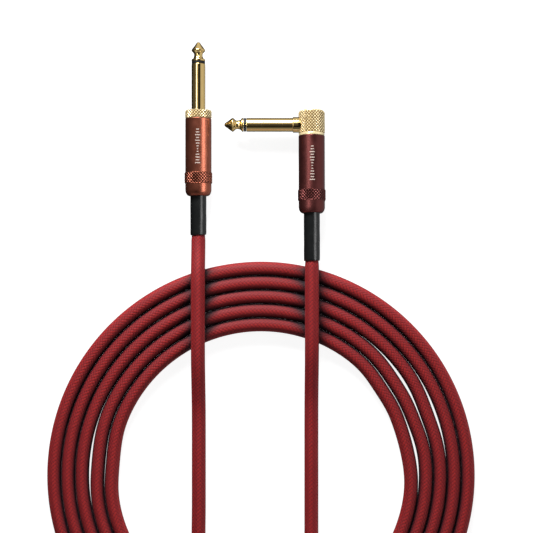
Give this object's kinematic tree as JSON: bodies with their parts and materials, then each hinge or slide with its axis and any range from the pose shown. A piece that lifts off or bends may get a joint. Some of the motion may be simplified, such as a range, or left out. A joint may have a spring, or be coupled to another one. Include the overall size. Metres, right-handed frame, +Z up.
{
  "type": "instrument cable",
  "caption": "Braided instrument cable lying in a coil, with a straight 6.35 mm jack plug at one end and a right-angle 6.35 mm jack plug at the other, each with a barrel that unscrews.",
  "frame": {"origin": "on the surface that the cable lies on, under the middle of the two plugs' box", "axes": "+Z up; +Y along the straight plug, from cable to tip; the right-angle plug's tip points along -X"},
  "size_m": [0.1997, 0.3013, 0.0147],
  "materials": {
    "gold_plate": "polished gold plate, with fine diamond knurling on the collar and the right-angle head",
    "black_plastic": "gloss",
    "ivory_plastic": "satin",
    "tinned_brass": "tinned, satin",
    "solder": "bright solder",
    "bare_copper": "stranded wire",
    "liner_film": "smooth film",
    "copper_barrel": "satin copper-brown anodised",
    "maroon_barrel": "satin maroon-brown anodised",
    "heat_shrink": "satin black heat-shrink",
    "cable_jacket": "red woven textile jacket over a rubber-sheathed coaxial cable"
  },
  "bodies": {
    "cable": {"cable_run_straight": "cable_jacket", "cable_coil": "cable_jacket", "cable_run_angled": "cable_jacket", "straight_tip_contact": "gold_plate", "straight_tip_ring": "black_plastic", "straight_inner_insulator": "ivory_plastic", "straight_sleeve": "gold_plate", "straight_collar": "gold_plate", "straight_ground_lug": "tinned_brass", "straight_rear_insulator": "ivory_plastic", "straight_tip_lug": "tinned_brass", "straight_tip_solder": "solder", "straight_ground_solder": "solder", "straight_centre_conductor": "bare_copper", "straight_conductor_insulation": "ivory_plastic", "straight_shield_pigtail": "bare_copper", "straight_jacket_end": "cable_jacket", "straight_heat_shrink": "heat_shrink", "angled_tip_contact": "gold_plate", "angled_tip_ring": "black_plastic", "angled_inner_insulator": "ivory_plastic", "angled_sleeve": "gold_plate", "angled_head": "gold_plate", "angled_ground_lug": "tinned_brass", "angled_rear_insulator": "ivory_plastic", "angled_tip_lug": "tinned_brass", "angled_tip_solder": "solder", "angled_ground_solder": "solder", "angled_centre_conductor": "bare_copper", "angled_conductor_insulation": "ivory_plastic", "angled_shield_pigtail": "bare_copper", "angled_jacket_end": "cable_jacket", "angled_heat_shrink": "heat_shrink"},
    "straight_liner": {"straight_liner": "liner_film"},
    "straight_barrel": {"straight_barrel": "copper_barrel"},
    "angled_liner": {"angled_liner": "liner_film"},
    "angled_barrel": {"angled_barrel": "maroon_barrel"}
  },
  "joints": [
    {"name": "straight_barrel_draw", "type": "slide", "parent": "cable", "child": "straight_liner", "axis": [0, -1, 0], "range_m": [0, 0.0045]},
    {"name": "straight_barrel_turn", "type": "hinge", "parent": "straight_liner", "child": "straight_barrel", "pos_m": [-0.02625, 0.0154, 0.00645], "axis": [0, -1, 0], "range_deg": [0, 2160]},
    {"name": "angled_barrel_draw", "type": "slide", "parent": "cable", "child": "angled_liner", "axis": [0, -0.9986, 0.0523], "range_m": [0, 0.0045]},
    {"name": "angled_barrel_turn", "type": "hinge", "parent": "angled_liner", "child": "angled_barrel", "pos_m": [0.02625, 0.00727, 0.00672], "axis": [0, -0.9986, 0.0523], "range_deg": [0, 2160]}
  ],
  "couplings": [
    {"joint": "straight_barrel_draw", "follows": "straight_barrel_turn", "m_per_rad": 0.00011936},
    {"joint": "angled_barrel_draw", "follows": "angled_barrel_turn", "m_per_rad": 0.00011936}
  ]
}
